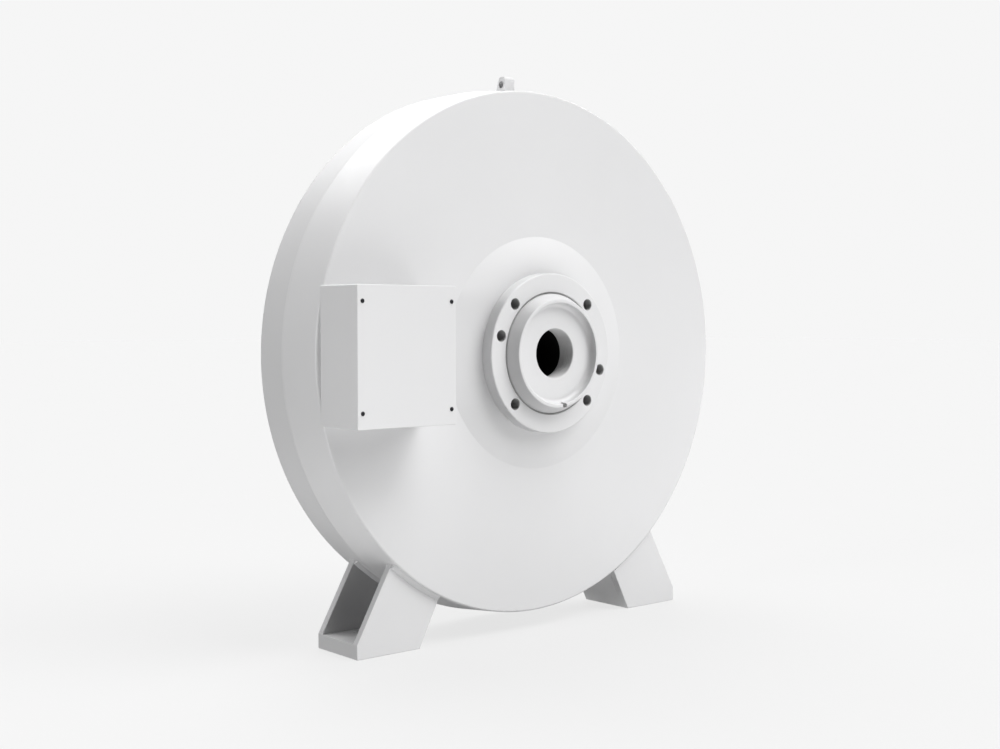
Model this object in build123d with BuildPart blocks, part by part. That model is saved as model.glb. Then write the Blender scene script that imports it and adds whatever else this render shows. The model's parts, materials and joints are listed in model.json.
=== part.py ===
from build123d import *
import os
from math import radians, tan

# Disc-shaped permanent magnet motor standing on two fabricated feet, in millimetres.
# X runs to the right seen from the shaft end, Y along the shaft away from that end, Z up.
# The origin lies on the floor, midway between the four hold-down holes.

os.makedirs("parts", exist_ok=True)

# Housing
front_radius = 440.0
flare = 8.5
floor_clearance = 23.5
drum_depth = 85.0
drum_edge_chamfer = 1.5
ring_step = 1.0
ring_depth = 68.0
ring_wall = 19.0
ring_rear_round = 10.0
plate_thickness = 14.0
rim_chamfer = 2.0
dish = 8.5

# Hollow shaft
shaft_radius = 100.0
nose_length = 19.0
nose_taper = 9.5
nose_edge_chamfer = 1.0
recess_rim = 6.0
recess_depth = 12.0
recess_round = 8.0
bore_radius = 41.0
bore_length = 32.0
bore_chamfer = 1.5
cavity_step = 19.0
cavity_length = 70.0
shaft_end_wall = 12.0
notch_radius = 4.5
notch_depth = 9.0
notch_angle = -82.0

# Bearing housings and their caps
cap_gap = 3.0
cap_hole_radius = 9.0
cap_hole_wall = 4.0
cap_margin = 9.0
cap_thickness = 21.5
cap_edge_chamfer = 2.0
thread_depth = 16.0
corner_hole_count = 4
corner_hole_angle = 45.0
extra_hole_count = 2
extra_hole_angle = 165.0
boss_ledge = 2.0
boss_spread = 60.0
boss_height = 13.0
boss_crown = 1.2
spigot_margin = 4.0

# Shaft seal
seal_setback = 1.0
seal_depth = 6.0

# Terminal box
box_width = 183.0
box_height = 212.0
box_rim_inset = 8.0
box_center_rise = 2.0
box_depth = 96.5
box_round = 3.0
cover_thickness = 3.0
cover_edge_chamfer = 0.8
gland_plate_end_margin = 26.5
gland_plate_side_margin = 14.5
gland_plate_thickness = 3.0
entry_radius = 20.0
entry_pitch_share = 0.55
entry_depth = 25.0

# Feet
foot_front_setback = 10.0
foot_rear_setback = 33.0
foot_inset = 209.5
foot_width = 122.0
foot_outer_lean = 29.0
foot_inner_lean = 27.0
foot_top_share = 0.38
base_thickness = 24.0
side_thickness = 12.0
web_thickness = 12.0
hold_down_inset = 61.0
hold_down_margin = 18.0
hold_down_radius = 11.0

# Lifting lug
lug_width = 22.0
lug_setback = 66.0
lug_top_length = 14.0
lug_base_length = 27.0
lug_rise = 34.0
lug_top_round = 6.0
lug_eye_radius = 6.0
lug_eye_drop = 13.0
lug_eye_setback = 9.5

# Clearances
running_clearance = 0.05
seal_clearance = 0.3
shaft_room = 4.0
seat_gap = 0.1
weld_gap = 0.2

# Radii and heights that follow
drum_rear_radius = front_radius + flare
ring_radius = drum_rear_radius - ring_step
ring_inner_radius = ring_radius - ring_wall
axis_height = drum_rear_radius + floor_clearance
nose_front_radius = shaft_radius - nose_taper
recess_radius = nose_front_radius - recess_rim
cavity_radius = bore_radius + cavity_step
pocket_radius = shaft_radius + shaft_room
cap_bore_radius = shaft_radius + cap_gap
bolt_circle_radius = cap_bore_radius + cap_hole_wall + cap_hole_radius
cap_radius = bolt_circle_radius + cap_hole_radius + cap_margin
boss_face_radius = cap_radius + boss_ledge
boss_base_radius = boss_face_radius + boss_spread
spigot_radius = boss_face_radius + spigot_margin

# Feet and their holes, and places along the shaft
foot_depth = drum_depth + ring_depth - foot_front_setback - foot_rear_setback
foot_inner_x = drum_rear_radius - foot_inset
foot_outer_x = foot_inner_x + foot_width
foot_top = axis_height * foot_top_share
hold_down_x = foot_outer_x - hold_down_inset
hold_down_spacing = foot_depth - 2 * (side_thickness + hold_down_margin)
front_y = -(foot_depth / 2 + foot_front_setback)
plate_back_y = front_y + plate_thickness
seat_y = front_y - dish
cap_seat_y = seat_y - boss_height
cap_front_y = cap_seat_y - cap_thickness
nose_y = cap_front_y - nose_length
bore_y = nose_y + recess_depth
cavity_y = bore_y + bore_length
cavity_end_y = cavity_y + cavity_length
shaft_end_y = cavity_end_y + shaft_end_wall
ring_y = front_y + drum_depth
rear_y = ring_y + ring_depth
rear_plate_y = rear_y - plate_thickness
rear_seat_y = rear_y + dish
rear_cap_seat_y = rear_seat_y + boss_height

shaft_axis = Axis((0, 0, axis_height), (0, 1, 0))
# In this plane a point is (place along the shaft, radius).
shaft_plane = Plane(origin=(0, 0, axis_height), x_dir=(0, 1, 0), z_dir=(1, 0, 0))


def front_view(y):
    """Plane square to the shaft at y, seen from the shaft end, with heights from the floor."""
    return Plane.XZ.offset(-y)


def shaft_end_view(y):
    """Plane square to the shaft at y, seen from the shaft end, centred on the shaft."""
    return Plane(origin=(0, y, axis_height), x_dir=(1, 0, 0), z_dir=(0, -1, 0))


def flare_radius(depth):
    """Radius of the flared drum at a depth behind its front edge."""
    return front_radius + flare * depth / drum_depth


def cap_hole_circles():
    """Circles of the six bolt holes, on the front face of the bearing cap."""
    with BuildSketch(shaft_end_view(cap_front_y)) as circles:
        with PolarLocations(bolt_circle_radius, corner_hole_count, start_angle=corner_hole_angle):
            Circle(cap_hole_radius)
        with PolarLocations(bolt_circle_radius, extra_hole_count, start_angle=extra_hole_angle):
            Circle(cap_hole_radius)
    return circles.sketch


def housing_envelope(gap):
    """Drum and rear ring as one body, grown by a gap, to trim what is welded to them."""
    with BuildPart() as envelope:
        with BuildSketch(shaft_plane):
            with BuildLine():
                Polyline(
                    (front_y, 0),
                    (front_y, front_radius + gap),
                    (ring_y + gap, drum_rear_radius + gap),
                    (ring_y + gap, ring_radius + gap),
                    (rear_y, ring_radius + gap),
                    (rear_y, 0),
                    close=True,
                )
            make_face()
        revolve(axis=shaft_axis)
    return envelope.part


# Front end plate: a shallow dish with a flat seat round its opening
with BuildPart() as front_plate:
    with BuildSketch(shaft_plane) as profile:
        with BuildLine():
            Polyline(
                (seat_y, spigot_radius),
                (seat_y, boss_base_radius),
                (front_y, front_radius),
                (plate_back_y, flare_radius(plate_thickness)),
                (plate_back_y, spigot_radius),
                close=True,
            )
        make_face()
        chamfer(profile.vertices().sort_by(Axis.Y)[-2:].sort_by(Axis.X)[0], rim_chamfer)
    revolve(axis=shaft_axis)
front_plate.part.label = "front_end_plate"
export_step(front_plate.part, "parts/front_end_plate.step")

# Flared drum, with a shoulder and a spigot for the rear ring
with BuildPart() as drum:
    with BuildSketch(shaft_plane) as profile:
        with BuildLine():
            Polyline(
                (plate_back_y, pocket_radius),
                (plate_back_y, flare_radius(plate_thickness)),
                (ring_y, drum_rear_radius),
                (ring_y, ring_inner_radius),
                (rear_plate_y, ring_inner_radius),
                (rear_plate_y, 0),
                (shaft_end_y + shaft_room, 0),
                (shaft_end_y + shaft_room, pocket_radius),
                close=True,
            )
        make_face()
        chamfer(profile.vertices().sort_by(Axis.Y)[-1], drum_edge_chamfer)
    revolve(axis=shaft_axis)
drum.part.label = "housing_drum"
export_step(drum.part, "parts/housing_drum.step")

# Rear ring, set a little below the drum's edge and rounded at the back
with BuildPart() as ring:
    with BuildSketch(shaft_plane) as profile:
        with BuildLine():
            Polyline(
                (ring_y, ring_inner_radius + seat_gap),
                (ring_y, ring_radius),
                (rear_y, ring_radius),
                (rear_y, ring_inner_radius + seat_gap),
                close=True,
            )
        make_face()
        fillet(profile.vertices().sort_by(Axis.Y)[-2:].sort_by(Axis.X)[-1], ring_rear_round)
    revolve(axis=shaft_axis)
ring.part.label = "rear_ring"
export_step(ring.part, "parts/rear_ring.step")

# Rear end plate, let into the rear ring and dished like the front one
with BuildPart() as rear_plate:
    with BuildSketch(shaft_plane):
        with BuildLine():
            Polyline(
                (rear_plate_y, 0),
                (rear_plate_y, ring_inner_radius - seat_gap),
                (rear_y, ring_inner_radius - seat_gap),
                (rear_seat_y, boss_base_radius),
                (rear_seat_y, 0),
                close=True,
            )
        make_face()
    revolve(axis=shaft_axis)
rear_plate.part.label = "rear_end_plate"
export_step(rear_plate.part, "parts/rear_end_plate.step")

# Front bearing housing: a low crowned boss with a spigot in the plate's opening
with BuildPart() as front_bearing:
    with BuildSketch(shaft_plane):
        with BuildLine():
            crown = SagittaArc((cap_seat_y, boss_face_radius), (seat_y, boss_base_radius), boss_crown)
            Polyline(
                crown @ 1,
                (seat_y, spigot_radius - seat_gap),
                (plate_back_y, spigot_radius - seat_gap),
                (plate_back_y, shaft_radius + running_clearance),
                (cap_seat_y, shaft_radius + running_clearance),
                crown @ 0,
            )
        make_face()
    revolve(axis=shaft_axis)
    extrude(cap_hole_circles(), amount=-(cap_thickness + thread_depth), mode=Mode.SUBTRACT)
front_bearing.part.label = "front_bearing_housing"
export_step(front_bearing.part, "parts/front_bearing_housing.step")

# Front bearing cap, with a gap round the shaft and six through holes
with BuildPart() as front_cap:
    with BuildSketch(shaft_plane) as profile:
        with BuildLine():
            Polyline(
                (cap_front_y, cap_bore_radius),
                (cap_front_y, cap_radius),
                (cap_seat_y, cap_radius),
                (cap_seat_y, cap_bore_radius),
                close=True,
            )
        make_face()
        chamfer(profile.vertices().sort_by(Axis.Y)[-2:].sort_by(Axis.X)[0], cap_edge_chamfer)
    revolve(axis=shaft_axis)
    extrude(cap_hole_circles(), amount=-(cap_thickness + thread_depth), mode=Mode.SUBTRACT)
front_cap.part.label = "front_bearing_cap"
export_step(front_cap.part, "parts/front_bearing_cap.step")

# Shaft seal in the cap's bore
with BuildPart() as seal:
    with BuildSketch(shaft_end_view(cap_front_y + seal_setback)):
        Circle(cap_bore_radius - seat_gap)
        Circle(shaft_radius + seal_clearance, mode=Mode.SUBTRACT)
    extrude(amount=-seal_depth)
seal.part.label = "shaft_seal"
export_step(seal.part, "parts/shaft_seal.step")

# Hollow shaft: tapered nose, dished recess, short bore and a wide cavity behind it
with BuildPart() as shaft:
    with BuildSketch(shaft_plane) as profile:
        with BuildLine():
            Polyline(
                (nose_y, recess_radius),
                (nose_y, nose_front_radius),
                (cap_front_y, shaft_radius),
                (shaft_end_y, shaft_radius),
                (shaft_end_y, 0),
                (cavity_end_y, 0),
                (cavity_end_y, cavity_radius),
                (cavity_y, cavity_radius),
                (cavity_y, bore_radius),
                (bore_y, bore_radius),
                (bore_y, recess_radius),
                close=True,
            )
        make_face()
        nose_corner = profile.vertices().sort_by(Axis.X)[:2].sort_by(Axis.Y)[-1]
        chamfer(nose_corner, nose_edge_chamfer)
        recess_corners = profile.vertices().filter_by_position(Axis.X, bore_y, bore_y).sort_by(Axis.Y)
        fillet(recess_corners[-1], recess_round)
        chamfer(recess_corners[0], bore_chamfer)
    revolve(axis=shaft_axis)
    with BuildSketch(shaft_end_view(nose_y)):
        with PolarLocations((recess_radius + nose_front_radius) / 2, 1, start_angle=notch_angle):
            Circle(notch_radius)
    extrude(amount=-notch_depth, mode=Mode.SUBTRACT)
shaft.part.label = "shaft"
export_step(shaft.part, "parts/shaft.step")

# Rear bearing housing, closed, with the front one's crown
with BuildPart() as rear_bearing:
    with BuildSketch(shaft_plane):
        with BuildLine():
            crown = SagittaArc(
                (rear_seat_y, boss_base_radius), (rear_cap_seat_y, boss_face_radius), boss_crown
            )
            Polyline(crown @ 1, (rear_cap_seat_y, 0), (rear_seat_y, 0), crown @ 0)
        make_face()
    revolve(axis=shaft_axis)
rear_bearing.part.label = "rear_bearing_housing"
export_step(rear_bearing.part, "parts/rear_bearing_housing.step")

# Rear bearing cap, closed
with BuildPart() as rear_cap:
    with BuildSketch(shaft_end_view(rear_cap_seat_y)):
        Circle(cap_radius)
    extrude(amount=-cap_thickness)
    chamfer(rear_cap.faces().sort_by(Axis.Y)[-1].edges(), cap_edge_chamfer)
rear_cap.part.label = "rear_bearing_cap"
export_step(rear_cap.part, "parts/rear_bearing_cap.step")

# Terminal box body, trimmed to the dish and rebated underneath for the gland plate
box_center_x = -(front_radius - box_rim_inset - box_width / 2)
box_center_z = axis_height + box_center_rise
box_bottom_z = box_center_z - box_height / 2
box_front_y = front_y - box_depth
box_back_y = front_y - seat_gap
gland_y = front_y - box_depth / 2
gland_plate_length = box_width - 2 * gland_plate_end_margin
gland_plate_width = box_depth - 2 * gland_plate_side_margin
entry_pitch = gland_plate_length * entry_pitch_share
gland_plane = Plane(origin=(box_center_x, gland_y, box_bottom_z), x_dir=(1, 0, 0), z_dir=(0, 0, -1))
with BuildPart() as box_body:
    with BuildSketch(front_view(box_back_y)):
        with Locations((box_center_x, box_center_z)):
            RectangleRounded(box_width, box_height, box_round)
    extrude(amount=box_back_y - box_front_y - cover_thickness)
    with BuildSketch(shaft_plane):
        with BuildLine():
            Polyline(
                (seat_y - seat_gap, 0),
                (seat_y - seat_gap, boss_base_radius),
                (front_y - seat_gap, front_radius),
                (front_y, front_radius),
                (front_y, 0),
                close=True,
            )
        make_face()
    revolve(axis=shaft_axis, mode=Mode.SUBTRACT)
    with BuildSketch(gland_plane):
        Rectangle(gland_plate_length + 2 * seat_gap, gland_plate_width + 2 * seat_gap)
    extrude(amount=-gland_plate_thickness, mode=Mode.SUBTRACT)
    with BuildSketch(gland_plane.offset(-gland_plate_thickness)):
        with GridLocations(entry_pitch, 0, 2, 1):
            Circle(entry_radius)
    extrude(amount=-entry_depth, mode=Mode.SUBTRACT)
box_body.part.label = "terminal_box_body"
export_step(box_body.part, "parts/terminal_box_body.step")

# Terminal box cover plate
with BuildPart() as box_cover:
    with BuildSketch(front_view(box_front_y + cover_thickness)):
        with Locations((box_center_x, box_center_z)):
            RectangleRounded(box_width, box_height, box_round)
    extrude(amount=cover_thickness)
    chamfer(box_cover.faces().sort_by(Axis.Y)[0].edges(), cover_edge_chamfer)
box_cover.part.label = "terminal_box_cover"
export_step(box_cover.part, "parts/terminal_box_cover.step")

# Gland plate with two cable entries, flush with the box's underside
with BuildPart() as gland_plate:
    with BuildSketch(gland_plane):
        Rectangle(gland_plate_length, gland_plate_width)
        with GridLocations(entry_pitch, 0, 2, 1):
            Circle(entry_radius, mode=Mode.SUBTRACT)
    extrude(amount=-gland_plate_thickness)
gland_plate.part.label = "terminal_box_gland_plate"
export_step(gland_plate.part, "parts/terminal_box_gland_plate.step")

# Lifting lug on top of the drum, with an upright front edge and a sloped back
lug_foot_z = axis_height + front_radius
lug_top_z = lug_foot_z + lug_rise
lug_front_y = front_y + lug_setback
with BuildPart() as lug:
    with BuildSketch(Plane.YZ) as profile:
        with BuildLine():
            Polyline(
                (lug_front_y, lug_foot_z),
                (lug_front_y, lug_top_z),
                (lug_front_y + lug_top_length, lug_top_z),
                (lug_front_y + lug_base_length, lug_foot_z),
                close=True,
            )
        make_face()
        fillet(profile.vertices().sort_by(Axis.Y)[-2:], lug_top_round)
        with Locations((lug_front_y + lug_eye_setback, lug_top_z - lug_eye_drop)):
            Circle(lug_eye_radius, mode=Mode.SUBTRACT)
    extrude(amount=lug_width / 2, both=True)
    add(housing_envelope(weld_gap), mode=Mode.SUBTRACT)
lug.part.label = "lifting_lug"
export_step(lug.part, "parts/lifting_lug.step")

# Feet: each a base plate, two side plates trimmed to the housing and a slanted inner web
outer_slope = tan(radians(foot_outer_lean))
inner_slope = tan(radians(foot_inner_lean))
foot_top_outer_x = foot_outer_x - (foot_top - base_thickness) * outer_slope
foot_top_inner_x = foot_inner_x - foot_top * inner_slope
base_top_inner_x = foot_inner_x - base_thickness * inner_slope
for side, sign in (("left", -1), ("right", 1)):
    with BuildPart() as base_plate:
        with BuildSketch(front_view(foot_depth / 2)):
            with BuildLine():
                Polyline(
                    (sign * foot_inner_x, 0),
                    (sign * foot_outer_x, 0),
                    (sign * foot_outer_x, base_thickness),
                    (sign * base_top_inner_x, base_thickness),
                    close=True,
                )
            make_face()
        extrude(amount=foot_depth)
        with BuildSketch(Plane.XY.offset(base_thickness)):
            with Locations((sign * hold_down_x, 0)):
                with GridLocations(0, hold_down_spacing, 1, 2):
                    Circle(hold_down_radius)
        extrude(amount=-base_thickness, mode=Mode.SUBTRACT)
    base_plate.part.label = f"{side}_foot_base_plate"
    export_step(base_plate.part, f"parts/{side}_foot_base_plate.step")

    for end, plate_y in (("front", side_thickness - foot_depth / 2), ("rear", foot_depth / 2)):
        with BuildPart() as side_plate:
            with BuildSketch(front_view(plate_y)):
                with BuildLine():
                    Polyline(
                        (sign * base_top_inner_x, base_thickness),
                        (sign * foot_outer_x, base_thickness),
                        (sign * foot_top_outer_x, foot_top),
                        (sign * foot_top_inner_x, foot_top),
                        close=True,
                    )
                make_face()
            extrude(amount=side_thickness)
            add(housing_envelope(weld_gap), mode=Mode.SUBTRACT)
        side_plate.part.label = f"{side}_foot_{end}_plate"
        export_step(side_plate.part, f"parts/{side}_foot_{end}_plate.step")

    web_room = foot_depth - 2 * side_thickness
    with BuildPart() as web:
        with BuildSketch(front_view(web_room / 2)):
            with BuildLine():
                Polyline(
                    (sign * base_top_inner_x, base_thickness),
                    (sign * (base_top_inner_x + web_thickness), base_thickness),
                    (sign * (foot_top_inner_x + web_thickness), foot_top),
                    (sign * foot_top_inner_x, foot_top),
                    close=True,
                )
            make_face()
        extrude(amount=web_room)
        add(housing_envelope(weld_gap), mode=Mode.SUBTRACT)
    web.part.label = f"{side}_foot_web"
    export_step(web.part, f"parts/{side}_foot_web.step")
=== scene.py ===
"""Disc motor on welded feet: painted housing, bearing boss, hollow shaft end and terminal box."""
import json
import math

import bmesh
import bpy
from mathutils import Matrix, Vector


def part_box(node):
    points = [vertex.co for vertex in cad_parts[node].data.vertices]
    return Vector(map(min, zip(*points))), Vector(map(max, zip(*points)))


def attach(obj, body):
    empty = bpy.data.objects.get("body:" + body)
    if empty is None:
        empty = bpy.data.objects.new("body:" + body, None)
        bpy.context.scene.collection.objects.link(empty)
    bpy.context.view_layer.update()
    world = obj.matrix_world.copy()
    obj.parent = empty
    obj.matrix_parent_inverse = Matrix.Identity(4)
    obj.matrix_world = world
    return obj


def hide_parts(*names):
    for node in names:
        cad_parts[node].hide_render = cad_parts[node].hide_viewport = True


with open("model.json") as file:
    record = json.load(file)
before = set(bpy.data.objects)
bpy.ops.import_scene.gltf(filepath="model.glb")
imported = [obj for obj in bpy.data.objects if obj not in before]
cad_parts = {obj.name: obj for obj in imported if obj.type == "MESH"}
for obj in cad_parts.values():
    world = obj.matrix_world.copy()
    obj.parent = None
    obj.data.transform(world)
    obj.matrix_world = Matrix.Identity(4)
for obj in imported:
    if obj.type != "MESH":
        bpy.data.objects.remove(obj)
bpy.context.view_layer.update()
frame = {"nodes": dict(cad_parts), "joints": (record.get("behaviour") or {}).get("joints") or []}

mm = 0.001

# How near counts as the same place, how far a cutter runs past a face, and the room left in a test
touch = mm / 100
merge_distance = mm / 1000
overrun = 1 * mm
margin = 1 * mm

# Places and radii read from the frame
low, high = {}, {}
for node in frame["nodes"]:
    low[node], high[node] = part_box(node)
axis_z = frame["joints"][0]["pos_m"][2]
seat_y = low["front_end_plate"].y
plate_back_y = high["front_end_plate"].y
plate_back_radius = high["front_end_plate"].x
ring_y = low["rear_ring"].y
rear_y = high["rear_ring"].y
ring_radius = high["rear_ring"].x
rear_plate_y = low["rear_end_plate"].y
rear_seat_y = high["rear_end_plate"].y
rear_plate_radius = high["rear_end_plate"].x
boss_base_radius = high["front_bearing_housing"].x
cap_seat_y = high["front_bearing_cap"].y
cap_front_y = low["front_bearing_cap"].y
cap_radius = high["front_bearing_cap"].x
seal_front_y = low["shaft_seal"].y
seal_back_y = high["shaft_seal"].y
seal_radius = high["shaft_seal"].x
shaft_radius = high["shaft"].x
nose_y = low["shaft"].y
shaft_end_y = high["shaft"].y
rear_cap_seat_y = low["rear_bearing_cap"].y
rear_cap_y = high["rear_bearing_cap"].y
base_thickness = high["right_foot_base_plate"].z
foot_front_y = low["right_foot_base_plate"].y
foot_rear_y = high["right_foot_base_plate"].y
foot_outer_x = high["right_foot_base_plate"].x
base_top_inner_x = low["right_foot_base_plate"].x
side_back_y = high["right_foot_front_plate"].y
rear_side_y = low["right_foot_rear_plate"].y
lug_half_width = high["lifting_lug"].x
lug_front_y = low["lifting_lug"].y
lug_top_z = high["lifting_lug"].z

# Housing
front_y = -65 * mm
front_radius = 440 * mm
drum_radius = 448.5 * mm
drum_slope = (drum_radius - front_radius) / (ring_y - front_y)
step_run = 3 * mm
step_round = 2.5 * mm
ring_inner_radius = 428.6 * mm
opening_radius = 104 * mm
rim_round = 3 * mm
ring_rear_round = 10 * mm
plate_joint_round = 1 * mm

# Bearing bosses and caps
boss_face_radius = 136 * mm
boss_crown = 1.2 * mm
cap_bore_radius = 103 * mm
cap_bore_round = 0.8 * mm
cap_edge_round = 2.5 * mm
bolt_circle_radius = 116 * mm
bolt_hole_radius = 9 * mm
bolt_hole_angles = (45, 135, 165, 225, 315, 345)
hole_chamfer = 0.8 * mm
hole_round = 0.5 * mm
tapped_depth = 16 * mm
tapped_pitch = 2 * mm
tapped_core_share = 0.9

# Shaft seal
seal_rim = 1.2 * mm
seal_rim_round = 0.4 * mm
seal_groove_depth = 1.5 * mm
seal_groove_wall = 0.4 * mm
seal_lip_setback = 0.5 * mm
seal_lip_gap = 0.35 * mm
seal_lip_round = 0.2 * mm
seal_bore_gap = 0.6 * mm

# Shaft end
nose_front_radius = 90.5 * mm
nose_edge_round = 1.2 * mm
nose_root_round = 1 * mm
recess_radius = 84.5 * mm
recess_round = 8 * mm
recess_edge_round = 1.5 * mm
bore_y = -115 * mm
bore_radius = 41 * mm
bore_chamfer = 1.5 * mm
bore_edge_round = 0.5 * mm
bore_thread_pitch = 4 * mm
bore_thread_depth = 1.2 * mm
cavity_y = -83 * mm
cavity_end_y = -13 * mm
cavity_radius = 60 * mm
notch_radius = 4.5 * mm
notch_depth = 9 * mm
notch_end_round = 0.6 * mm
notch_angle = -82
face_margin = 0.1 * mm

# Feet and lug
foot_inner_x = 239 * mm
foot_top_z = 179.36 * mm
foot_top_outer_x = 274.9 * mm
foot_top_inner_x = 147.6 * mm
web_thickness = 12 * mm
hold_down_x = 300 * mm
hold_down_y = 25 * mm
hold_down_radius = 11 * mm
plate_edge_round = 1.5 * mm
lug_top_length = 14 * mm
lug_base_length = 27 * mm
lug_foot_z = axis_z + front_radius
lug_round = 6 * mm
lug_edge_round = 1 * mm
lug_eye_radius = 6 * mm
lug_eye_y = 10.5 * mm
lug_eye_z = 933 * mm

# Terminal box
box_round = 2 * mm
body_edge_round = 0.5 * mm
cover_front_round = 1 * mm
cover_back_round = 0.4 * mm
gland_edge_round = 0.6 * mm
dish_gap = 0.1 * mm
rebate_gap = 0.2 * mm
entry_radius = 20 * mm
entry_pitch = 71.5 * mm
entry_depth = 25 * mm
screw_inset_x = 9 * mm
screw_inset_z = 24 * mm

# How far a face has to look along an axis to be picked, squarely or leaning
squarely = 0.9
leaning = 0.5

# Modelling helpers


def activate(piece):
    """Selects one piece alone."""
    bpy.ops.object.select_all(action="DESELECT")
    piece.select_set(True)
    bpy.context.view_layer.objects.active = piece


def select_where(piece, kind, test):
    """In edit mode, selects the vertices, edges or faces that pass a test."""
    bpy.ops.mesh.select_mode(type=kind)
    bpy.ops.mesh.select_all(action="DESELECT")
    mesh = bmesh.from_edit_mesh(piece.data)
    elements = {"VERT": mesh.verts, "EDGE": mesh.edges, "FACE": mesh.faces}[kind]
    for element in elements:
        if test(element):
            element.select_set(True)
    bmesh.update_edit_mesh(piece.data)


def draw_wire(name, corners, closed=True):
    """Opens a new piece in edit mode as a wire through the corners."""
    bpy.ops.object.select_all(action="DESELECT")
    bpy.ops.mesh.primitive_plane_add(size=mm, location=(0, 0, 0))
    piece = bpy.context.active_object
    piece.name = name
    bpy.ops.object.mode_set(mode="EDIT")
    bpy.ops.mesh.select_mode(type="VERT")
    bpy.ops.mesh.select_all(action="SELECT")
    bpy.ops.mesh.merge(type="CENTER")
    bpy.ops.transform.translate(value=corners[0])
    for here, there in zip(corners, corners[1:]):
        bpy.ops.mesh.extrude_vertices_move(TRANSFORM_OT_translate={"value": there - here})
    if closed:
        ends = (corners[0], corners[-1])
        select_where(piece, "VERT", lambda v: any((v.co - end).length < touch for end in ends))
        bpy.ops.mesh.edge_face_add()
    return piece


def round_corner(piece, corner, size, steps=6):
    """Rounds the wire's corner at a place."""
    select_where(piece, "VERT", lambda v: (v.co - corner).length < touch)
    bpy.ops.mesh.bevel(affect="VERTICES", offset=size, segments=steps, profile=0.5)


def close_up():
    """In edit mode, merges doubles, turns all faces outwards and leaves edit mode."""
    bpy.ops.mesh.select_mode(type="VERT")
    bpy.ops.mesh.select_all(action="SELECT")
    bpy.ops.mesh.remove_doubles(threshold=merge_distance)
    bpy.ops.mesh.normals_make_consistent(inside=False)
    bpy.ops.object.mode_set(mode="OBJECT")


def turned(name, profile, closed=True, center_x=0, center_z=axis_z, steps=256):
    """Spins a profile of (y, radius, corner round) about a line along Y."""
    corners = [Vector((center_x, y, center_z + radius)) for y, radius, _ in profile]
    piece = draw_wire(name, corners, closed)
    for corner, (_, _, size) in zip(corners, profile):
        if size:
            round_corner(piece, corner, size)
    bpy.ops.mesh.select_all(action="SELECT")
    bpy.ops.mesh.spin(steps=steps, angle=2 * math.pi, center=(center_x, 0, center_z), axis=(0, 1, 0))
    close_up()
    return piece


def plate(name, outline, thickness, rounds=()):
    """Extrudes an outline by a thickness vector; rounds are (corner index, size)."""
    piece = draw_wire(name, outline)
    for index, size in rounds:
        round_corner(piece, outline[index], size)
    bpy.ops.mesh.select_all(action="SELECT")
    bpy.ops.mesh.edge_face_add()
    bpy.ops.mesh.extrude_region_move(TRANSFORM_OT_translate={"value": thickness})
    close_up()
    return piece


def block(name, start, end):
    """A block between two corners, its place in its mesh."""
    bpy.ops.object.select_all(action="DESELECT")
    bpy.ops.mesh.primitive_cube_add(size=1, location=(start + end) / 2, scale=end - start)
    piece = bpy.context.active_object
    piece.name = name
    bpy.ops.object.transform_apply(location=True, rotation=True, scale=True)
    return piece


def drill_bit(center, radius, depth, material, sides=48, turn=(0, 0, 0)):
    """A cylinder that cuts a round hole, upright unless it is turned."""
    bpy.ops.object.select_all(action="DESELECT")
    bpy.ops.mesh.primitive_cylinder_add(
        vertices=sides, radius=radius, depth=depth, location=center, rotation=turn
    )
    bit = bpy.context.active_object
    bpy.ops.object.transform_apply(location=True, rotation=True, scale=True)
    bit.data.materials.append(material)
    return bit


def apply_modifier(piece, kind, **settings):
    """Adds a modifier with its settings and applies it."""
    activate(piece)
    bpy.ops.object.modifier_add(type=kind)
    modifier = piece.modifiers[-1]
    for name, value in settings.items():
        setattr(modifier, name, value)
    bpy.ops.object.modifier_apply(modifier=modifier.name)


def cut(piece, cutter):
    """Cuts a piece with another, which is then deleted; new faces keep the cutter's material."""
    apply_modifier(
        piece, "BOOLEAN", operation="DIFFERENCE", object=cutter,
        solver="EXACT", material_mode="TRANSFER",
    )
    bpy.data.objects.remove(cutter)


def round_edges(piece, size, steps=3, limit=40):
    """Rounds every edge that turns by more than a limit in degrees."""
    apply_modifier(
        piece, "BEVEL", width=size, segments=steps, limit_method="ANGLE",
        angle_limit=math.radians(limit), use_clamp_overlap=True, harden_normals=False,
    )


def bevel_edges(piece, size, test, steps=4):
    """Rounds the edges that pass a test."""
    activate(piece)
    bpy.ops.object.mode_set(mode="EDIT")
    select_where(piece, "EDGE", test)
    bpy.ops.mesh.bevel(offset=size, segments=steps, profile=0.5)
    bpy.ops.object.mode_set(mode="OBJECT")


def runs_along(edge, axis):
    """Whether an edge runs along one axis."""
    start, end = edge.verts[0].co, edge.verts[1].co
    return all(abs(start[i] - end[i]) < touch for i in range(3) if i != axis)


def paint_faces(piece, material, test):
    """Gives the faces that pass a test a material of their own."""
    piece.data.materials.append(material)
    activate(piece)
    bpy.ops.object.mode_set(mode="EDIT")
    select_where(piece, "FACE", test)
    piece.active_material_index = len(piece.data.materials) - 1
    bpy.ops.object.material_slot_assign()
    bpy.ops.object.mode_set(mode="OBJECT")


def finish_piece(piece, body="housing", node=None, angle=22):
    """Shades a piece smooth, and puts it on its body and in place of its node."""
    activate(piece)
    bpy.ops.object.shade_smooth_by_angle(angle=math.radians(angle))
    apply_modifier(piece, "WEIGHTED_NORMAL", keep_sharp=True)
    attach(piece, body)
    if node:
        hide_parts(node)


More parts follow.
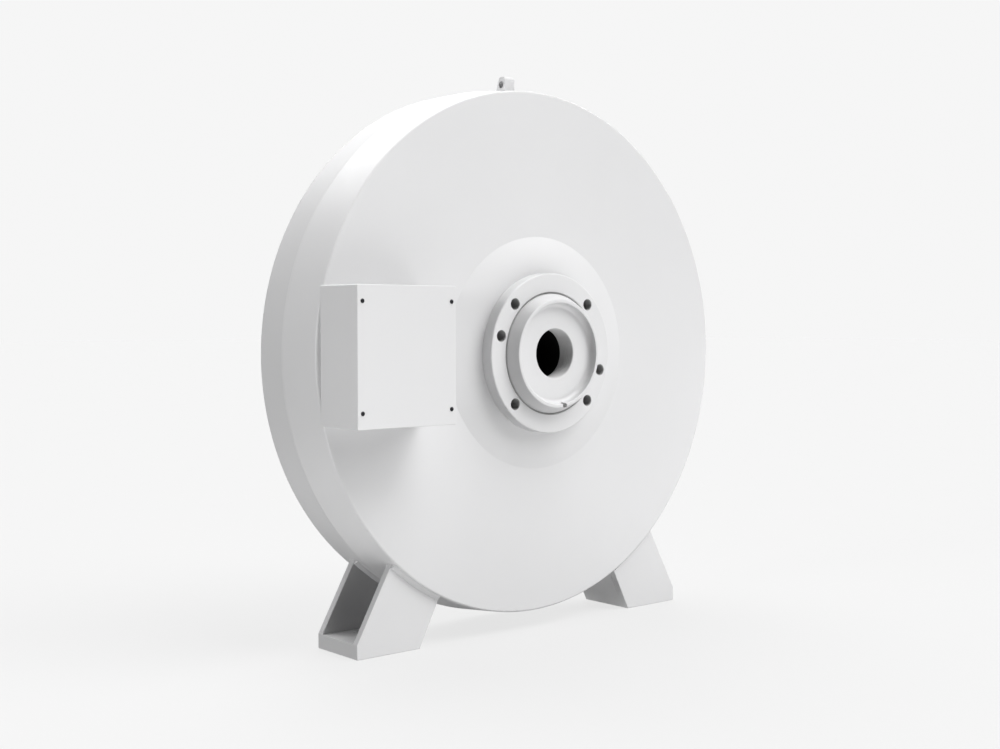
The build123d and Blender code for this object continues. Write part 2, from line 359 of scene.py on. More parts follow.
def copy_piece(piece, name, matrix):
    """A copy with its own mesh, moved by a matrix that is put into the mesh."""
    activate(piece)
    bpy.ops.object.duplicate(linked=False)
    copy = bpy.context.active_object
    copy.name = name
    copy.matrix_world = matrix
    bpy.ops.object.transform_apply(location=True, rotation=True, scale=True)
    if matrix.determinant() < 0:
        bpy.ops.object.mode_set(mode="EDIT")
        bpy.ops.mesh.select_all(action="SELECT")
        bpy.ops.mesh.normals_make_consistent(inside=False)
        bpy.ops.object.mode_set(mode="OBJECT")
    return copy


def on_circle(radius, degrees):
    """Place (x, z) on a circle round the shaft, from the front, counted from the right."""
    angle = math.radians(degrees)
    return radius * math.cos(angle), axis_z + radius * math.sin(angle)


def crowned(start, end, rise, count=8):
    """Points of a slightly crowned line between two places (y, radius)."""
    start, end = Vector(start), Vector(end)
    along = end - start
    outward = Vector((-along.y, along.x)).normalized()
    points = []
    for index in range(count + 1):
        share = index / count
        point = start + along * share + outward * rise * 4 * share * (1 - share)
        points.append((point.x, point.y, 0))
    return points


def ribbed(start_y, end_y, inner, outer, pitch):
    """Zigzag profile of a thread along Y, from one radius out to another."""
    count = int(abs(end_y - start_y) / pitch)
    step = (end_y - start_y) / count
    points = []
    for index in range(count):
        points.append((start_y + step * index, inner, 0))
        points.append((start_y + step * (index + 0.5), outer, 0))
    points.append((end_y, inner, 0))
    return points


# Materials: the range that a noise's values fill, and the sizes of what the noises draw
noise_low = 0.3
noise_high = 0.7
cloud_size = 220 * mm
gloss_patch_size = 40 * mm
gloss_swing = 0.05
stain_size = 12 * mm
stain_share = 0.7
metal_patch_size = 3 * mm
metal_gloss_swing = 0.08
ring_waver = 0.6
wave_period = 0.314


def new_material(name):
    """A material with its tree, its surface shader and its object coordinates."""
    material = bpy.data.materials.new(name)
    material.use_nodes = True
    tree = material.node_tree
    place = tree.nodes.new("ShaderNodeTexCoord").outputs["Object"]
    return material, tree, tree.nodes["Principled BSDF"], place


def noise(tree, place, size, detail=2):
    """Noise whose grains are about as wide as the size, in metres."""
    texture = tree.nodes.new("ShaderNodeTexNoise")
    texture.inputs["Scale"].default_value = 1 / size
    texture.inputs["Detail"].default_value = detail
    tree.links.new(place, texture.inputs["Vector"])
    return texture.outputs["Fac"]


def rings(tree, place, pitch):
    """Fine rings round the shaft, as a turning tool leaves them."""
    mapping = tree.nodes.new("ShaderNodeMapping")
    mapping.inputs["Location"].default_value = (0, 0, -axis_z)
    wave = tree.nodes.new("ShaderNodeTexWave")
    wave.wave_type = "RINGS"
    wave.rings_direction = "Y"
    wave.inputs["Scale"].default_value = wave_period / pitch
    wave.inputs["Distortion"].default_value = ring_waver
    tree.links.new(place, mapping.inputs["Vector"])
    tree.links.new(mapping.outputs["Vector"], wave.inputs["Vector"])
    return wave.outputs["Fac"]


def spread(tree, value, start, end):
    """Stretches a noise value over a range."""
    node = tree.nodes.new("ShaderNodeMapRange")
    node.inputs["From Min"].default_value = noise_low
    node.inputs["From Max"].default_value = noise_high
    node.inputs["To Min"].default_value = start
    node.inputs["To Max"].default_value = end
    tree.links.new(value, node.inputs["Value"])
    return node.outputs["Result"]


def blend_colours(tree, value, dark, light):
    """Colour between two tones, led by a value."""
    node = tree.nodes.new("ShaderNodeValToRGB")
    node.color_ramp.elements[0].position = noise_low
    node.color_ramp.elements[0].color = (*dark, 1)
    node.color_ramp.elements[1].position = noise_high
    node.color_ramp.elements[1].color = (*light, 1)
    tree.links.new(value, node.inputs["Fac"])
    return node.outputs["Color"]


def relief(tree, surface, value, depth):
    """Bump of a given depth, in metres, on top of any bump that the surface has."""
    node = tree.nodes.new("ShaderNodeBump")
    node.inputs["Distance"].default_value = depth
    tree.links.new(value, node.inputs["Height"])
    for link in surface.inputs["Normal"].links:
        tree.links.new(link.from_socket, node.inputs["Normal"])
    tree.links.new(node.outputs["Normal"], surface.inputs["Normal"])


def coating(name, tone, cloud, peel, peel_depth, gloss):
    """Sprayed coat: faint cloudiness, orange peel and an uneven gloss."""
    material, tree, surface, place = new_material(name)
    clouds = noise(tree, place, cloud_size, detail=3)
    dark = [channel * (1 - cloud) for channel in tone]
    tree.links.new(blend_colours(tree, clouds, dark, tone), surface.inputs["Base Color"])
    patches = noise(tree, place, gloss_patch_size, detail=3)
    roughness = spread(tree, patches, gloss - gloss_swing, gloss + gloss_swing)
    tree.links.new(roughness, surface.inputs["Roughness"])
    relief(tree, surface, noise(tree, place, peel), peel_depth)
    return material, tree, surface, place


def bare_metal(name, tone, gloss, grain, grain_depth, metallic=1):
    """Bare metal: stained tone, uneven gloss and a fine grain."""
    material, tree, surface, place = new_material(name)
    stains = noise(tree, place, stain_size, detail=4)
    dark = [channel * stain_share for channel in tone]
    tree.links.new(blend_colours(tree, stains, dark, tone), surface.inputs["Base Color"])
    patches = noise(tree, place, metal_patch_size, detail=3)
    roughness = spread(tree, patches, gloss - metal_gloss_swing, gloss + metal_gloss_swing)
    tree.links.new(roughness, surface.inputs["Roughness"])
    relief(tree, surface, noise(tree, place, grain), grain_depth)
    surface.inputs["Metallic"].default_value = metallic
    return material


paint_tone = (0.66, 0.66, 0.665)
# Painted shade: the rear ring's paint is a little darker than the housing's, standing in for the shade
# that falls on the ring
ring_shade_tone = [0.95 * channel for channel in paint_tone]
housing_white = coating(
    "housing_white", paint_tone, cloud=0.02, peel=5 * mm, peel_depth=0.03 * mm, gloss=0.42
)[0]
foot_white = coating(
    "foot_white", paint_tone, cloud=0.03, peel=7 * mm, peel_depth=0.06 * mm, gloss=0.46
)[0]
# Painted shade: darker grey for the faces in the foot's bay and the plates' cut ends
foot_shade_grey = coating(
    "foot_shade_grey", (0.53, 0.53, 0.535), cloud=0.08, peel=7 * mm, peel_depth=0.06 * mm, gloss=0.55
)[0]
box_white = coating(
    "box_white", paint_tone, cloud=0.015, peel=2 * mm, peel_depth=0.02 * mm, gloss=0.48
)[0]
shaft_white, tree, surface, place = coating(
    "shaft_white", paint_tone, cloud=0.02, peel=4 * mm, peel_depth=0.015 * mm, gloss=0.38
)
relief(tree, surface, rings(tree, place, pitch=0.8 * mm), depth=0.01 * mm)
ring_shade_white = coating(
    "ring_shade_white", ring_shade_tone, cloud=0.02, peel=5 * mm, peel_depth=0.03 * mm, gloss=0.42
)[0]
seal_black = coating(
    "seal_black", (0.42, 0.42, 0.42), cloud=0.2, peel=1.5 * mm, peel_depth=0.02 * mm, gloss=0.6
)[0]
# Walls of the tapped and drilled holes: partly bare steel grey, partly painted shade for the dark inside
# of the holes
hole_steel_and_shade_grey = coating(
    "hole_steel_and_shade_grey", (0.4, 0.4, 0.4), cloud=0.3, peel=1 * mm, peel_depth=0.03 * mm, gloss=0.55
)[0]
# Painted shade: the cavity inside the hollow shaft is painted near black, where there is only shade
cavity_shade_black = coating(
    "cavity_shade_black", (0.01, 0.01, 0.01), cloud=0.3, peel=3 * mm, peel_depth=0.03 * mm, gloss=0.8
)[0]
bore_grey, tree, surface, place = coating(
    "bore_grey", (0.6, 0.6, 0.6), cloud=0.15, peel=1.5 * mm, peel_depth=0.02 * mm, gloss=0.5
)
relief(tree, surface, rings(tree, place, pitch=1.2 * mm), depth=0.02 * mm)
black_steel = bare_metal(
    "black_steel", (0.05, 0.05, 0.055), gloss=0.45, grain=0.5 * mm, grain_depth=0.02 * mm
)
zinc = bare_metal(
    "zinc", (0.62, 0.63, 0.65), gloss=0.35, grain=0.8 * mm, grain_depth=0.02 * mm, metallic=0.5
)

# Housing: front end plate, drum, rear ring and rear end plate
end_plate = turned("end_plate", [
    (seat_y, opening_radius, 0),
    (seat_y, boss_base_radius, 0),
    (front_y, front_radius, rim_round),
    (plate_back_y, plate_back_radius, 0),
    (plate_back_y, opening_radius, 0),
])
end_plate.data.materials.append(housing_white)
finish_piece(end_plate, node="front_end_plate")

drum = turned("drum", [
    (plate_back_y, opening_radius, 0),
    (plate_back_y, plate_back_radius, 0),
    (ring_y - step_run, drum_radius - step_run * drum_slope, step_round),
    (ring_y, ring_radius, 0),
    (ring_y, ring_inner_radius, 0),
    (rear_plate_y, ring_inner_radius, 0),
    (rear_plate_y, opening_radius, 0),
])
drum.data.materials.append(housing_white)
finish_piece(drum, node="housing_drum")

ring = turned("back_ring", [
    (ring_y, ring_inner_radius, 0),
    (ring_y, ring_radius, 0),
    (rear_y, ring_radius, ring_rear_round),
    (rear_y, ring_inner_radius, plate_joint_round),
])
ring.data.materials.append(ring_shade_white)
finish_piece(ring, node="rear_ring")

back_plate = turned("back_plate", [
    (rear_plate_y, opening_radius, 0),
    (rear_plate_y, rear_plate_radius, 0),
    (rear_y, rear_plate_radius, plate_joint_round),
    (rear_seat_y, boss_base_radius, 0),
    (rear_seat_y, opening_radius, 0),
])
back_plate.data.materials.append(housing_white)
finish_piece(back_plate, node="rear_end_plate")

# Bearing bosses, with tapped holes in the front one
front_crown = crowned((cap_seat_y, boss_face_radius), (seat_y, boss_base_radius), boss_crown)
boss = turned("front_boss", [
    (cap_seat_y, opening_radius, 0),
    *front_crown,
    (seat_y, opening_radius, 0),
])
boss.data.materials.append(housing_white)
tap_start_y = cap_seat_y - tapped_pitch
tap_end_y = cap_seat_y + tapped_depth - tapped_pitch
tap_core_radius = tapped_core_share * bolt_hole_radius
tap_thread = ribbed(tap_start_y, tap_end_y, tap_core_radius, bolt_hole_radius, tapped_pitch)
tap_profile = [(tap_start_y, 0, 0), *tap_thread, (tap_end_y, 0, 0)]
for degrees in bolt_hole_angles:
    hole_x, hole_z = on_circle(bolt_circle_radius, degrees)
    tap = turned("tap", tap_profile, False, hole_x, hole_z, 32)
    tap.data.materials.append(hole_steel_and_shade_grey)
    cut(boss, tap)
finish_piece(boss, node="front_bearing_housing")

rear_crown = crowned((rear_seat_y, boss_base_radius), (rear_cap_seat_y, boss_face_radius), boss_crown)
rear_boss = turned("rear_boss", [
    (rear_seat_y, opening_radius, 0),
    *rear_crown,
    (rear_cap_seat_y, opening_radius, 0),
])
rear_boss.data.materials.append(housing_white)
finish_piece(rear_boss, node="rear_bearing_housing")

# Bearing caps: the front one with six through holes, the rear one closed
cap = turned("front_cap", [
    (cap_front_y, cap_bore_radius, cap_bore_round),
    (cap_front_y, cap_radius, cap_edge_round),
    (cap_seat_y, cap_radius, 0),
    (cap_seat_y, cap_bore_radius, 0),
])
cap.data.materials.append(housing_white)
for degrees in bolt_hole_angles:
    hole_x, hole_z = on_circle(bolt_circle_radius, degrees)
    drill = turned("drill", [
        (cap_front_y - overrun, 0, 0),
        (cap_front_y - overrun, bolt_hole_radius + hole_chamfer + overrun, 0),
        (cap_front_y + hole_chamfer, bolt_hole_radius, hole_round),
        (cap_seat_y + overrun, bolt_hole_radius, 0),
        (cap_seat_y + overrun, 0, 0),
    ], False, hole_x, hole_z, 48)
    drill.data.materials.append(hole_steel_and_shade_grey)
    cut(cap, drill)
finish_piece(cap, node="front_bearing_cap")

rear_cap = turned("rear_cap", [
    (rear_cap_seat_y, 0, 0),
    (rear_cap_seat_y, cap_radius, 0),
    (rear_cap_y, cap_radius, cap_edge_round),
    (rear_cap_y, 0, 0),
], False)
rear_cap.data.materials.append(housing_white)
finish_piece(rear_cap, node="rear_bearing_cap")

# Shaft seal with a dust lip, and the hollow shaft end
seal = turned("seal_ring", [
    (seal_front_y, seal_radius, 0),
    (seal_front_y, seal_radius - seal_rim, seal_rim_round),
    (seal_front_y + seal_groove_depth, seal_radius - seal_rim - seal_groove_wall, 0),
    (seal_front_y + seal_lip_setback, shaft_radius + seal_lip_gap, seal_lip_round),
    (seal_back_y, shaft_radius + seal_bore_gap, 0),
    (seal_back_y, seal_radius, 0),
])
seal.data.materials.append(seal_black)
finish_piece(seal, node="shaft_seal")

bore_outer_radius = bore_radius + bore_thread_depth
bore_thread = ribbed(
    cavity_y - bore_chamfer, bore_y + bore_chamfer, bore_radius, bore_outer_radius, bore_thread_pitch
)
shaft_end = turned("shaft_end", [
    (cavity_end_y, 0, 0),
    (cavity_end_y, cavity_radius, 0),
    (cavity_y, cavity_radius, 0),
    (cavity_y, bore_radius, 0),
    *bore_thread,
    (bore_y, bore_radius + bore_chamfer, bore_edge_round),
    (bore_y, recess_radius, recess_round),
    (nose_y, recess_radius, recess_edge_round),
    (nose_y, nose_front_radius, nose_edge_round),
    (cap_front_y, shaft_radius, nose_root_round),
    (shaft_end_y, shaft_radius, 0),
    (shaft_end_y, 0, 0),
], False)
shaft_end.data.materials.append(shaft_white)


def inside(face, radius, start_y, end_y):
    """Whether a face's middle lies within a radius of the shaft's axis and between two depths."""
    middle = face.calc_center_median()
    return math.hypot(middle.x, middle.z - axis_z) < radius and start_y < middle.y < end_y


paint_faces(shaft_end, bore_grey, lambda f: inside(
    f, bore_outer_radius, bore_y + face_margin, cavity_y - face_margin
))
# Painted shade: the cavity's faces get the near-black coat
paint_faces(shaft_end, cavity_shade_black, lambda f: inside(
    f, cavity_radius + margin, cavity_y - face_margin, cavity_end_y + face_margin
))
notch_x, notch_z = on_circle((recess_radius + nose_front_radius) / 2, notch_angle)
notch_mill = turned("notch_mill", [
    (nose_y - overrun, 0, 0),
    (nose_y - overrun, notch_radius, 0),
    (nose_y + notch_depth, notch_radius, notch_end_round),
    (nose_y + notch_depth, 0, 0),
], False, notch_x, notch_z, 32)
notch_mill.data.materials.append(bore_grey)
cut(shaft_end, notch_mill)
finish_piece(shaft_end, "shaft", "shaft")

# Terminal box: body against the dish, cover plate and gland plate
body_low, body_high = low["terminal_box_body"], high["terminal_box_body"]
box_body = block("box_body", body_low, Vector((body_high.x, front_y, body_high.z)))
bevel_edges(box_body, box_round, lambda e: runs_along(e, 1), 6)
bevel_edges(box_body, body_edge_round, lambda e: all(v.co.y < body_low.y + touch for v in e.verts), 2)
box_body.data.materials.append(box_white)
dish = turned("dish", [
    (seat_y - dish_gap, opening_radius, 0),
    (seat_y - dish_gap, boss_base_radius, 0),
    (front_y - dish_gap, front_radius, 0),
    (front_y - dish_gap, ring_radius, 0),
    (plate_back_y, ring_radius, 0),
    (plate_back_y, opening_radius, 0),
])
dish.data.materials.append(box_white)
cut(box_body, dish)
gland_low, gland_high = low["terminal_box_gland_plate"], high["terminal_box_gland_plate"]
gap = Vector((rebate_gap, rebate_gap, 0))
rebate = block("rebate", gland_low - gap - Vector((0, 0, overrun)), gland_high + gap)
rebate.data.materials.append(box_white)
cut(box_body, rebate)
gland_middle = (gland_low + gland_high) / 2


def entry_mill(side):
    """Upright cutter of one cable entry, through the gland plate and into the box."""
    depth = entry_depth + 2 * (gland_high.z - gland_low.z)
    entry_x = gland_middle.x + side * entry_pitch / 2
    entry_z = gland_low.z - overrun + depth / 2
    return drill_bit((entry_x, gland_middle.y, entry_z), entry_radius, depth, box_white, 64)


gland_plate = block("gland_plate", gland_low, gland_high)
gland_plate.data.materials.append(box_white)
for side in (-1, 1):
    cut(box_body, entry_mill(side))
    cut(gland_plate, entry_mill(side))
finish_piece(box_body, node="terminal_box_body")
round_edges(gland_plate, gland_edge_round, 2)
finish_piece(gland_plate, node="terminal_box_gland_plate")

cover_low, cover_high = low["terminal_box_cover"], high["terminal_box_cover"]
cover = block("box_cover", cover_low, cover_high)
bevel_edges(cover, box_round, lambda e: runs_along(e, 1), 6)
bevel_edges(cover, cover_front_round, lambda e: all(v.co.y < cover_low.y + touch for v in e.verts), 3)
bevel_edges(cover, cover_back_round, lambda e: all(v.co.y > cover_high.y - touch for v in e.verts), 2)
cover.data.materials.append(box_white)
finish_piece(cover, node="terminal_box_cover")


def hex_face(radius, y, center_x, center_z):
    """Corners of an upright hexagon across Y."""
    corners = []
    for index in range(6):
        angle = math.radians(60 * index + 30)
        x = center_x + radius * math.cos(angle)
        z = center_z + radius * math.sin(angle)
        corners.append(Vector((x, y, z)))
    return corners


# Button-head screws of the cover and the gland plate
screw_radius = 3.4 * mm
screw_height = 1.8 * mm
screw_rim = 0.4 * mm
screw_sink = 0.2 * mm
screw_crown = 0.6 * mm
screw_top_share = 0.6
socket_radius = 1.7 * mm
socket_depth = 1.3 * mm
gland_screw_inset = 7 * mm
screw_middle_x = (cover_low.x + cover_high.x) / 2
screw_middle_z = (cover_low.z + cover_high.z) / 2
screw = turned("cover_screw", [
    (screw_sink, 0, 0),
    (screw_sink, screw_radius, 0),
    (-screw_rim, screw_radius, 0),
    (-screw_height, screw_top_share * screw_radius, screw_crown),
    (-screw_height, 0, 0),
], False, 0, 0, 32)
screw.data.materials.append(black_steel)
socket_face = hex_face(socket_radius, -screw_height - overrun, 0, 0)
socket = plate("socket", socket_face, Vector((0, socket_depth + overrun, 0)))
socket.data.materials.append(black_steel)
cut(screw, socket)
for side_x in (-1, 1):
    for side_z in (-1, 1):
        screw_x = screw_middle_x + side_x * ((cover_high.x - cover_low.x) / 2 - screw_inset_x)
        screw_z = screw_middle_z + side_z * ((cover_high.z - cover_low.z) / 2 - screw_inset_z)
        name = f"cover_screw_{'left' if side_x < 0 else 'right'}_{'low' if side_z < 0 else 'high'}"
        finish_piece(copy_piece(screw, name, Matrix.Translation((screw_x, cover_low.y, screw_z))))
face_down = Matrix.Rotation(math.radians(90), 4, "X")
for side_x in (-1, 1):
    for side_y in (-1, 1):
        screw_x = gland_middle.x + side_x * ((gland_high.x - gland_low.x) / 2 - gland_screw_inset)
        screw_y = gland_middle.y + side_y * ((gland_high.y - gland_low.y) / 2 - gland_screw_inset)
        name = f"gland_screw_{'left' if side_x < 0 else 'right'}_{'front' if side_y < 0 else 'rear'}"
        seat = Matrix.Translation((screw_x, screw_y, gland_low.z)) @ face_down
        finish_piece(copy_piece(screw, name, seat))
bpy.data.objects.remove(screw)

# Hex bolts and washers of the rear cap
bolt_radius = 13.8 * mm
bolt_height = 10 * mm
bolt_crown = 0.7 * mm
bolt_crown_inset = 1.2 * mm
bolt_edge_round = 0.5 * mm
washer_radius = 15 * mm
washer_bore_radius = 8.5 * mm
washer_height = 3 * mm
washer_round = 0.6 * mm
bolt_x, bolt_z = on_circle(bolt_circle_radius, 90)
washer = turned("washer", [
    (rear_cap_y, washer_bore_radius, 0),
    (rear_cap_y, washer_radius, 0),
    (rear_cap_y + washer_height, washer_radius, washer_round),
    (rear_cap_y + washer_height, washer_bore_radius, 0),
], True, bolt_x, bolt_z, 48)
washer.data.materials.append(zinc)
bolt_face = hex_face(bolt_radius, rear_cap_y + washer_height, bolt_x, bolt_z)
bolt = plate("bolt", bolt_face, Vector((0, bolt_height, 0)))
activate(bolt)
bpy.ops.object.mode_set(mode="EDIT")
select_where(bolt, "FACE", lambda f: f.normal.y > squarely)
bpy.ops.mesh.inset(thickness=bolt_crown_inset)
bpy.ops.transform.translate(value=(0, bolt_crown, 0))
bpy.ops.mesh.inset(thickness=bolt_crown_inset)
bpy.ops.object.mode_set(mode="OBJECT")
bolt.data.materials.append(zinc)
round_edges(bolt, bolt_edge_round, steps=2, limit=25)
for index in range(6):
    turn = (
        Matrix.Translation((0, 0, axis_z))
        @ Matrix.Rotation(math.radians(60 * index), 4, "Y")
        @ Matrix.Translation((0, 0, -axis_z))
    )
    finish_piece(copy_piece(bolt, f"rear_bolt_{index + 1}", turn))
    finish_piece(copy_piece(washer, f"rear_washer_{index + 1}", turn))
bpy.data.objects.remove(bolt)
bpy.data.objects.remove(washer)

# Feet: the right one is modelled, and the left one is its mirror image
weld_gap = 0.2 * mm


def housing_block(grown):
    """Outline of the drum and the rear ring, grown, to trim what is welded to them."""
    trim = turned("trim", [
        (front_y - overrun, 0, 0),
        (front_y - overrun, front_radius - overrun * drum_slope + grown, 0),
        (ring_y + grown, drum_radius + grown, 0),
        (ring_y + grown, ring_radius + grown, 0),
        (rear_y + overrun, ring_radius + grown, 0),
        (rear_y + overrun, 0, 0),
    ], False)
    trim.data.materials.append(foot_white)
    return trim


def upright(x, z, y):
    """Corner of an outline at a depth."""
    return Vector((x, y, z))


base = plate("foot_base", [
    upright(foot_inner_x, 0, foot_front_y),
    upright(foot_outer_x, 0, foot_front_y),
    upright(foot_outer_x, base_thickness, foot_front_y),
    upright(base_top_inner_x, base_thickness, foot_front_y),
], Vector((0, foot_rear_y - foot_front_y, 0)))
base.data.materials.append(foot_white)
for side in (-1, 1):
    hole = (hold_down_x, side * hold_down_y, 0)
    cut(base, drill_bit(hole, hold_down_radius, 3 * base_thickness, foot_white))


def on_joint(edge):
    """Whether an edge lies in the joint between the base plate and the plates on it."""
    return all(abs(v.co.z - base_thickness) < touch for v in edge.verts)


def turns(edge):
    """Whether an edge is a corner between two faces."""
    return len(edge.link_faces) == 2 and edge.calc_face_angle(0) > math.radians(40)


def on_hole(edge):
    """Whether an edge lies on the rim or the wall of a hold-down hole."""
    middle = (edge.verts[0].co + edge.verts[1].co) / 2
    return math.hypot(middle.x - hold_down_x, abs(middle.y) - hold_down_y) < hold_down_radius + margin


bevel_edges(base, plate_edge_round, lambda e: turns(e) and not on_joint(e) and not on_hole(e))


def near_drum(edge):
    """Whether an edge lies along the trimmed top, next to the housing."""
    return all(math.hypot(v.co.x, v.co.z - axis_z) < drum_radius + margin for v in edge.verts)


def side_plate(name, start_y, end_y):
    """Upright plate of the foot, trimmed to the housing."""
    piece = plate(name, [
        upright(base_top_inner_x, base_thickness, start_y),
        upright(foot_outer_x, base_thickness, start_y),
        upright(foot_top_outer_x, foot_top_z, start_y),
        upright(foot_top_inner_x, foot_top_z, start_y),
    ], Vector((0, end_y - start_y, 0)))
    piece.data.materials.append(foot_white)
    cut(piece, housing_block(weld_gap))
    bevel_edges(piece, plate_edge_round, lambda e: turns(e) and not on_joint(e) and not near_drum(e))
    return piece


front_side = side_plate("foot_front_side", foot_front_y, side_back_y)
rear_side = side_plate("foot_rear_side", rear_side_y, foot_rear_y)
web = plate("foot_web", [
    upright(base_top_inner_x, base_thickness, side_back_y),
    upright(base_top_inner_x + web_thickness, base_thickness, side_back_y),
    upright(foot_top_inner_x + web_thickness, foot_top_z, side_back_y),
    upright(foot_top_inner_x, foot_top_z, side_back_y),
], Vector((0, rear_side_y - side_back_y, 0)))
web.data.materials.append(foot_white)
cut(web, housing_block(weld_gap))


def meets_drum(start, end, radius):
    """Angle round the shaft, in degrees, where a line between two places (x, z) reaches a radius."""
    along = Vector(end) - Vector(start)
    offset = Vector(start) - Vector((0, axis_z))
    square, half, rest = along.dot(along), offset.dot(along), offset.dot(offset) - radius ** 2
    point = offset + along * (-half - math.sqrt(half * half - square * rest)) / square
    return math.degrees(math.atan2(point.y, point.x))


weld_leg = 6 * mm
weld_bulge = 0.6 * mm
weld_root = 1 * mm
weld_ripple = 1.5 * mm
weld_ripple_depth = 0.25 * mm
weld_taper = 1.5 * mm
weld_end = 0.3


def weld(name, y, side, radius, start, end):
    """Rippled fillet weld round the housing, on one side of a plate and between two angles."""
    first = math.radians(start)
    section = [(-weld_root, -weld_root), (weld_leg, -weld_root)]
    section += [(out, along) for along, out, _ in crowned((0, weld_leg), (weld_leg, 0), weld_bulge)]
    section.append((-weld_root, weld_leg))
    corners = []
    for out, along in section:
        x, z = on_circle(radius + out, start)
        corners.append(Vector((x, y + side * along, z)))
    piece = draw_wire(name, corners)
    sweep = math.radians(end - start)
    steps = int(radius * sweep / weld_ripple)
    bpy.ops.mesh.select_all(action="SELECT")
    bpy.ops.mesh.spin(steps=steps, angle=sweep, center=(0, 0, axis_z), axis=(0, 1, 0))
    bpy.ops.mesh.select_all(action="SELECT")
    bpy.ops.mesh.remove_doubles(threshold=merge_distance)
    bpy.ops.mesh.fill_holes(sides=0)
    bpy.ops.mesh.normals_make_consistent(inside=False)

    def step_of(vertex):
        """Which step of the sweep a vertex belongs to."""
        return round((math.atan2(vertex.co.z - axis_z, vertex.co.x) - first) / sweep * steps)

    select_where(piece, "VERT", lambda v: step_of(v) % 3 == 1)
    bpy.ops.transform.shrink_fatten(value=weld_ripple_depth)
    select_where(piece, "VERT", lambda v: step_of(v) in (0, steps))
    bpy.ops.transform.shrink_fatten(value=-weld_taper)
    close_up()
    piece.data.materials.append(foot_white)
    return piece


# Painted shade: a darker grey coat on the faces in the bay and on the cut ends of the plates, where shade
# falls
paint_faces(base, foot_shade_grey, lambda f: f.normal.z > squarely or f.normal.x > squarely)
paint_faces(front_side, foot_shade_grey, lambda f: f.normal.y > squarely or f.normal.x > leaning)
paint_faces(rear_side, foot_shade_grey, lambda f: f.normal.y < -squarely or f.normal.x > leaning)
paint_faces(web, foot_shade_grey, lambda f: f.normal.x > leaning)

inner_line = ((base_top_inner_x, base_thickness), (foot_top_inner_x, foot_top_z))
outer_line = ((foot_outer_x, base_thickness), (foot_top_outer_x, foot_top_z))
front_weld_radius = front_radius + drum_slope * (foot_front_y - front_y)
back_weld_radius = front_radius + drum_slope * (side_back_y - front_y)
foot_pieces = [(base, "base_plate"), (front_side, "front_plate"), (rear_side, "rear_plate"), (web, "web")]
for name, weld_y, side, weld_radius in (
    ("foot_weld_front", foot_front_y, -1, front_weld_radius),
    ("foot_weld_front_inside", side_back_y, 1, back_weld_radius),
    ("foot_weld_rear_inside", rear_side_y, -1, ring_radius),
    ("foot_weld_rear", foot_rear_y, 1, ring_radius),
):
    first_end = meets_drum(*inner_line, weld_radius) + weld_end
    last_end = meets_drum(*outer_line, weld_radius) - weld_end
    foot_pieces.append((weld(name, weld_y, side, weld_radius, first_end, last_end), None))
for piece, node in foot_pieces:
    left = copy_piece(piece, f"left_{piece.name}", Matrix.Scale(-1, 4, (1, 0, 0)))
    finish_piece(left, node=node and f"left_foot_{node}")
    piece.name = f"right_{piece.name}"
    finish_piece(piece, node=node and f"right_foot_{node}")

# Lifting lug with its eye
lug = plate("lug", [
    Vector((-lug_half_width, lug_front_y, lug_foot_z)),
    Vector((-lug_half_width, lug_front_y, lug_top_z)),
    Vector((-lug_half_width, lug_front_y + lug_top_length, lug_top_z)),
    Vector((-lug_half_width, lug_front_y + lug_base_length, lug_foot_z)),
], Vector((2 * lug_half_width, 0, 0)), ((1, lug_round), (2, lug_round / 2)))
lug.data.materials.append(housing_white)
lug_eye = (0, lug_eye_y, lug_eye_z)
crosswise = (0, math.radians(90), 0)
cut(lug, drill_bit(lug_eye, lug_eye_radius, 4 * lug_half_width, housing_white, turn=crosswise))
cut(lug, housing_block(weld_gap))
round_edges(lug, lug_edge_round)
finish_piece(lug, node="lifting_lug")

# Studio: pale floor, pale surround, soft light and the camera
scene = bpy.context.scene
scene.view_settings.view_transform = "Standard"
floor_size = 60
floor_glow = 0.732
surround_tone = (0.92, 0.92, 0.92)
bpy.ops.object.select_all(action="DESELECT")
bpy.ops.mesh.primitive_plane_add(size=floor_size, location=(0, 0, 0))
floor = bpy.context.active_object
floor.name = "studio_floor"
floor_white, _, surface, _ = coating(
    "floor_white", (0.1, 0.1, 0.1), cloud=0.01, peel=400 * mm, peel_depth=0.02 * mm, gloss=0.9
)
surface.inputs["Specular IOR Level"].default_value = 0
surface.inputs["Emission Color"].default_value = (1, 1, 1, 1)
surface.inputs["Emission Strength"].default_value = floor_glow
floor.data.materials.append(floor_white)
floor.visible_diffuse = False
floor.visible_glossy = False
floor.visible_shadow = False

world = bpy.data.worlds.new("studio_surround")
scene.world = world
world.use_nodes = True
surround = world.node_tree
backdrop = surround.nodes["Background"]
backdrop.inputs["Color"].default_value = (*surround_tone, 1)
view_rays = surround.nodes.new("ShaderNodeLightPath")
surround.links.new(view_rays.outputs["Is Camera Ray"], backdrop.inputs["Strength"])


def aim(position, target):
    """Turn that points a lamp or the camera from a position to a target."""
    return (target - position).to_track_quat("-Z", "Y").to_euler()


def sun(name, towards, strength, softness):
    """Distant lamp in a direction, with its softness in degrees."""
    position = Vector(towards)
    bpy.ops.object.light_add(type="SUN", location=position, rotation=aim(position, Vector((0, 0, 0))))
    lamp = bpy.context.active_object
    lamp.name = name
    lamp.data.energy = strength
    lamp.data.angle = math.radians(softness)


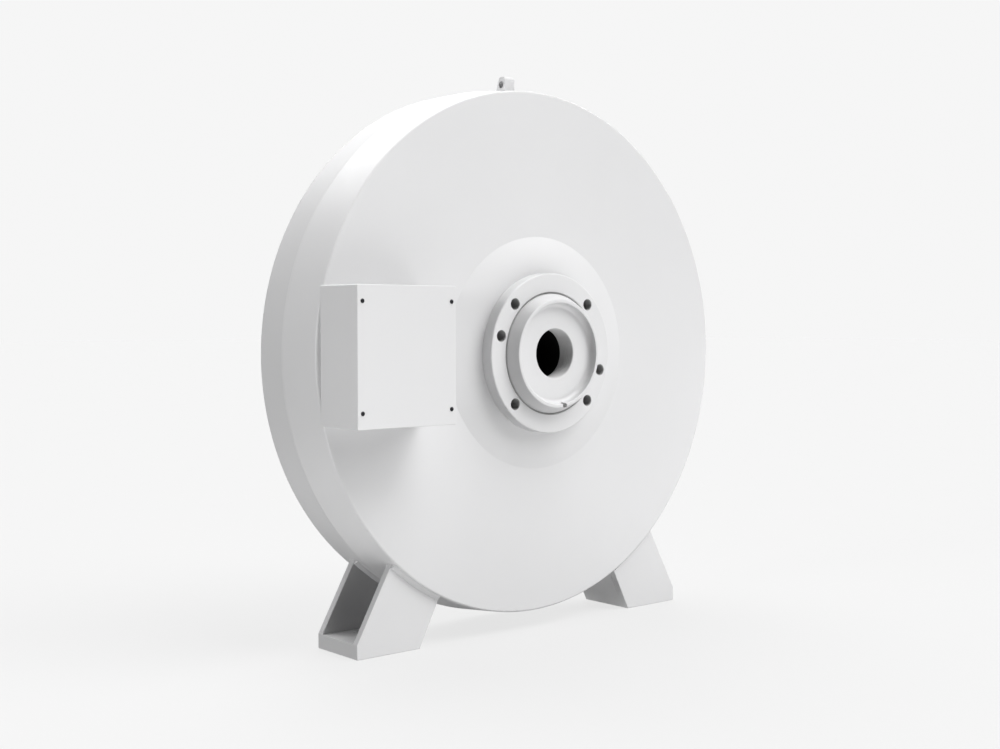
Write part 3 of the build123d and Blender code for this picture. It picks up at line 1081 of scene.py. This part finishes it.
floor_lamp_x = 0.67
floor_lamp_y = -0.67
floor_lamp_z = 5 * mm
floor_lamp_width = 0.8


def floor_lamp(name, side, power):
    """Round lamp lying on the floor in front, on one side, and shining up."""
    position = (side * floor_lamp_x, floor_lamp_y, floor_lamp_z)
    bpy.ops.object.light_add(type="AREA", location=position, rotation=(math.pi, 0, 0))
    lamp = bpy.context.active_object
    lamp.name = name
    lamp.data.shape = "DISK"
    lamp.data.size = floor_lamp_width
    lamp.data.energy = power
    lamp.visible_camera = False


# Strengths come from fitting trial renders to the photo's greys, but for the high right, top and
# back lights, which are set one by one. The three softnesses are in degrees
crisp = 15
soft = 40
softest = 50
sun("right_light", (0.58, -0.58, 0.57), 1.57, soft)
sun("high_right_light", (0.23, -0.41, 0.88), 2.3, soft)
sun("high_back_light", (0.23, 0.41, 0.88), 0.99, soft)
sun("top_light", (0, 0.5, 0.87), 1.95, softest)
sun("left_light", (-1, 0, 0.09), 1.84, crisp)
sun("low_front_light", (0, -0.95, -0.31), 0.48, soft)
sun("low_right_light", (0.67, -0.67, -0.31), 0.48, soft)
sun("under_right_light", (0.35, -0.61, -0.71), 0.69, soft)
sun("under_left_light", (-0.35, -0.61, -0.71), 0.35, soft)
sun("under_back_light", (-0.35, 0.61, -0.71), 0.55, soft)
sun("back_light", (0.67, 0.73, 0.12), 2.1, soft)
floor_lamp("right_floor_lamp", 1, 2.46)
floor_lamp("left_floor_lamp", -1, 1.55)

camera_turn = math.radians(40.6)
camera_rise = math.radians(2.3)
camera_distance = 2311.2 * mm
camera_target_x = -78.2 * mm
camera_target_z = 437.3 * mm
camera_lens = 50
camera_target = Vector((camera_target_x, front_y, camera_target_z))
camera_back = Vector((
    -math.sin(camera_turn) * math.cos(camera_rise),
    -math.cos(camera_turn) * math.cos(camera_rise),
    math.sin(camera_rise),
))
camera_place = camera_target + camera_back * camera_distance
bpy.ops.object.camera_add(location=camera_place, rotation=aim(camera_place, camera_target))
scene.camera = bpy.context.active_object
scene.camera.data.lens = camera_lens
